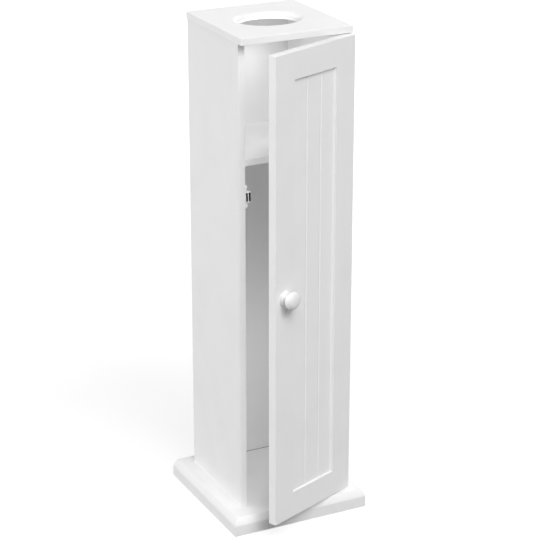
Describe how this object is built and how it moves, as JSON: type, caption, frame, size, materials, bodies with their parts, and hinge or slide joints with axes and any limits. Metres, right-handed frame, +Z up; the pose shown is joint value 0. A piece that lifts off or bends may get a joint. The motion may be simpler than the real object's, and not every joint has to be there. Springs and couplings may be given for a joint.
{
  "type": "toilet roll storage cabinet",
  "caption": "Tall narrow white bathroom cabinet with a moulded plinth, a hinged grooved door with a round knob, a shelf and an oval opening in its top.",
  "frame": {"origin": "centre of the plinth's underside, on the floor", "axes": "+Z up, -Y to the front where the door is, +X to the hinge side"},
  "size_m": [0.232, 0.3048, 0.79],
  "materials": {
    "painted_board": "white satin paint on fibreboard",
    "painted_hardboard": "white paint on thin hardboard",
    "painted_knob": "white satin paint on turned wood",
    "beech": "bare turned beech",
    "white_plastic": "moulded, satin",
    "ferrite": "sintered, matt",
    "black_steel": "blackened, satin",
    "hinge_steel": "nickel plated, satin",
    "zinc_steel": "zinc plated"
  },
  "bodies": {
    "carcass": {"base_plinth": "painted_board", "left_side_panel": "painted_board", "right_side_panel": "painted_board", "back_panel": "painted_hardboard", "top_panel": "painted_board", "shelf": "painted_board", "top_dowels": "beech", "shelf_dowels": "beech", "base_screws": "zinc_steel", "back_panel_pins": "zinc_steel", "catch_housing": "white_plastic", "catch_magnet": "ferrite", "catch_pole_plates": "black_steel", "catch_screws": "zinc_steel", "upper_hinge_frame_leaf": "hinge_steel", "lower_hinge_frame_leaf": "hinge_steel", "upper_hinge_pin": "hinge_steel", "lower_hinge_pin": "hinge_steel", "hinge_frame_screws": "zinc_steel"},
    "door": {"door_panel": "painted_board", "door_knob": "painted_knob", "knob_screw": "zinc_steel", "upper_hinge_door_leaf": "hinge_steel", "lower_hinge_door_leaf": "hinge_steel", "hinge_door_screws": "zinc_steel", "strike_plate": "zinc_steel", "strike_screw": "zinc_steel"}
  },
  "joints": [
    {"name": "door_swing", "type": "hinge", "parent": "carcass", "child": "door", "pos_m": [0.0928, -0.08685, 0.4], "axis": [0, 0, 1], "range_deg": [-22, 158]}
  ]
}
